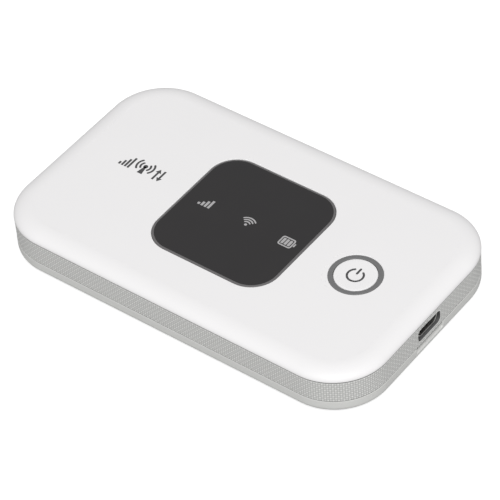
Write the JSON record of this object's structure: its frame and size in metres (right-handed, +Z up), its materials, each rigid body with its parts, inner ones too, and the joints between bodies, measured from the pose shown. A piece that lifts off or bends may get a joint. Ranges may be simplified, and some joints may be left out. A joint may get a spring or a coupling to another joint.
{
  "type": "mobile hotspot",
  "caption": "Flat pocket mobile hotspot with rounded corners, a textured band, a smoked icon window, a ringed power button and a lift-off back cover over its battery.",
  "frame": {"origin": "centre of the flat underside, on the surface the hotspot lies on", "axes": "+X along the length towards the USB end, +Y across the width, +Z up out of the face with the window"},
  "size_m": [0.099, 0.059, 0.012],
  "materials": {
    "white_shell": "white PC/ABS, satin gloss",
    "grey_band": "warm grey PC/ABS with a fine woven texture",
    "smoked_lens": "smoked acrylic, polished",
    "tape": "black double-sided tape",
    "trim_ring": "dark grey trim, satin",
    "white_block": "white light-shield plastic",
    "led": "clear LED body",
    "board": "green solder mask",
    "tinned_steel": "tinned steel sheet",
    "chip_black": "moulded epoxy",
    "ceramic": "ceramic and resistor bodies",
    "ferrite": "grey ferrite",
    "connector_black": "glass-filled nylon",
    "gold": "gold-plated contact",
    "flex": "polyimide flex",
    "battery_wrap": "printed shrink wrap",
    "screw": "black zinc screw"
  },
  "bodies": {
    "housing": {"top_cover": "white_shell", "mid_housing": "grey_band", "display_window": "smoked_lens", "window_tape": "tape", "light_shield": "white_block", "status_leds": "led", "button_bezel": "trim_ring", "power_switch_case": "tinned_steel", "main_board": "board", "modem_can": "tinned_steel", "radio_can": "tinned_steel", "wifi_can": "tinned_steel", "modem_chip": "chip_black", "memory_chip": "chip_black", "radio_chip": "chip_black", "amplifier_chip": "chip_black", "wifi_chip": "chip_black", "power_chip": "chip_black", "power_inductor": "ferrite", "board_passives": "ceramic", "usb_shell": "tinned_steel", "usb_tongue": "connector_black", "usb_contacts": "gold", "sim_base": "connector_black", "sim_shell": "tinned_steel", "sim_contacts": "gold", "reset_switch_case": "tinned_steel", "battery_connector": "connector_black", "battery_springs": "gold", "main_antenna": "flex", "diversity_antenna": "flex", "wifi_antenna": "flex", "antenna_springs": "gold", "housing_screws": "screw", "board_screws": "screw"},
    "button": {"power_button": "white_shell"},
    "power_plunger": {"power_switch_plunger": "connector_black"},
    "reset_plunger": {"reset_switch_plunger": "connector_black"},
    "back_cover": {"back_cover": "white_shell"},
    "battery": {"battery_cell": "battery_wrap", "battery_cap": "connector_black", "battery_pads": "gold"}
  },
  "joints": [
    {"name": "power_press", "type": "slide", "parent": "housing", "child": "button", "axis": [0, 0, -1], "range_m": [0, 0.0002], "stiffness_N_per_m": 12000},
    {"name": "power_plunger_press", "type": "slide", "parent": "housing", "child": "power_plunger", "axis": [0, 0, -1], "range_m": [0, 0.0002]},
    {"name": "reset_press", "type": "slide", "parent": "housing", "child": "reset_plunger", "axis": [0, 0, 1], "range_m": [0, 0.0002], "stiffness_N_per_m": 12000},
    {"name": "back_cover_release", "type": "slide", "parent": "back_cover", "child": "housing", "axis": [0, 0, 1], "range_m": [0, 0.025]},
    {"name": "battery_lift", "type": "slide", "parent": "back_cover", "child": "battery", "axis": [0, 0, 1], "range_m": [0, 0.0125]}
  ],
  "couplings": [
    {"joint": "power_plunger_press", "follows": "power_press", "ratio": 1},
    {"joint": "battery_lift", "follows": "back_cover_release", "ratio": 0.5}
  ]
}
